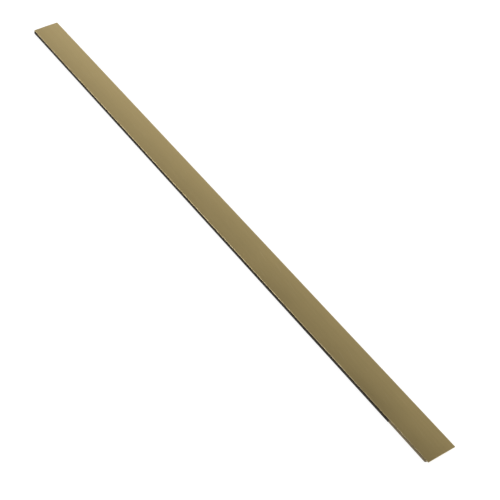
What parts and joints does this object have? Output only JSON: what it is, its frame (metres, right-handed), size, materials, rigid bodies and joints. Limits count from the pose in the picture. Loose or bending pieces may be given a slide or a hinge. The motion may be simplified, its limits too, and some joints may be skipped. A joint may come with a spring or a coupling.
{
  "type": "door sweep",
  "caption": "Long flat door sweep with a plain slide-on metal cover, a hidden base rail and a rubber seal along one long edge.",
  "frame": {"origin": "middle of the back, halfway along the length and halfway across the face and the rubber lip", "axes": "+X along the length towards the latch end, -Y towards the seal and the floor once fitted, +Z out of the face, away from the door"},
  "size_m": [0.9144, 0.039, 0.006],
  "materials": {
    "cover_gold": "satin gold anodised",
    "cap_gold": "moulded, gold painted",
    "mill_aluminium": "mill",
    "seal_rubber": "matt black",
    "foam_tape": "white foam",
    "release_liner": "waxed paper"
  },
  "bodies": {
    "rail": {"base_rail": "mill_aluminium", "hinge_end_cap": "cap_gold", "seal_bead": "seal_rubber", "upper_foam_tape": "foam_tape", "lower_foam_tape": "foam_tape"},
    "cover": {"face_cover": "cover_gold", "latch_end_cap": "cap_gold"},
    "lip": {"seal_lip": "seal_rubber"},
    "upper_liner": {"upper_release_liner": "release_liner"},
    "lower_liner": {"lower_release_liner": "release_liner"}
  },
  "joints": [
    {"name": "cover_slide", "type": "slide", "parent": "rail", "child": "cover", "axis": [1, 0, 0], "range_m": [0, 0.93]},
    {"name": "lip_flex", "type": "hinge", "parent": "rail", "child": "lip", "pos_m": [0, -0.0132, 0.00305], "axis": [1, 0, 0], "range_deg": [0, 40], "stiffness_Nm_per_rad": 1},
    {"name": "upper_liner_peel", "type": "slide", "parent": "rail", "child": "upper_liner", "axis": [-1, 0, 0], "range_m": [0, 0.92]},
    {"name": "lower_liner_peel", "type": "slide", "parent": "rail", "child": "lower_liner", "axis": [-1, 0, 0], "range_m": [0, 0.92]}
  ]
}
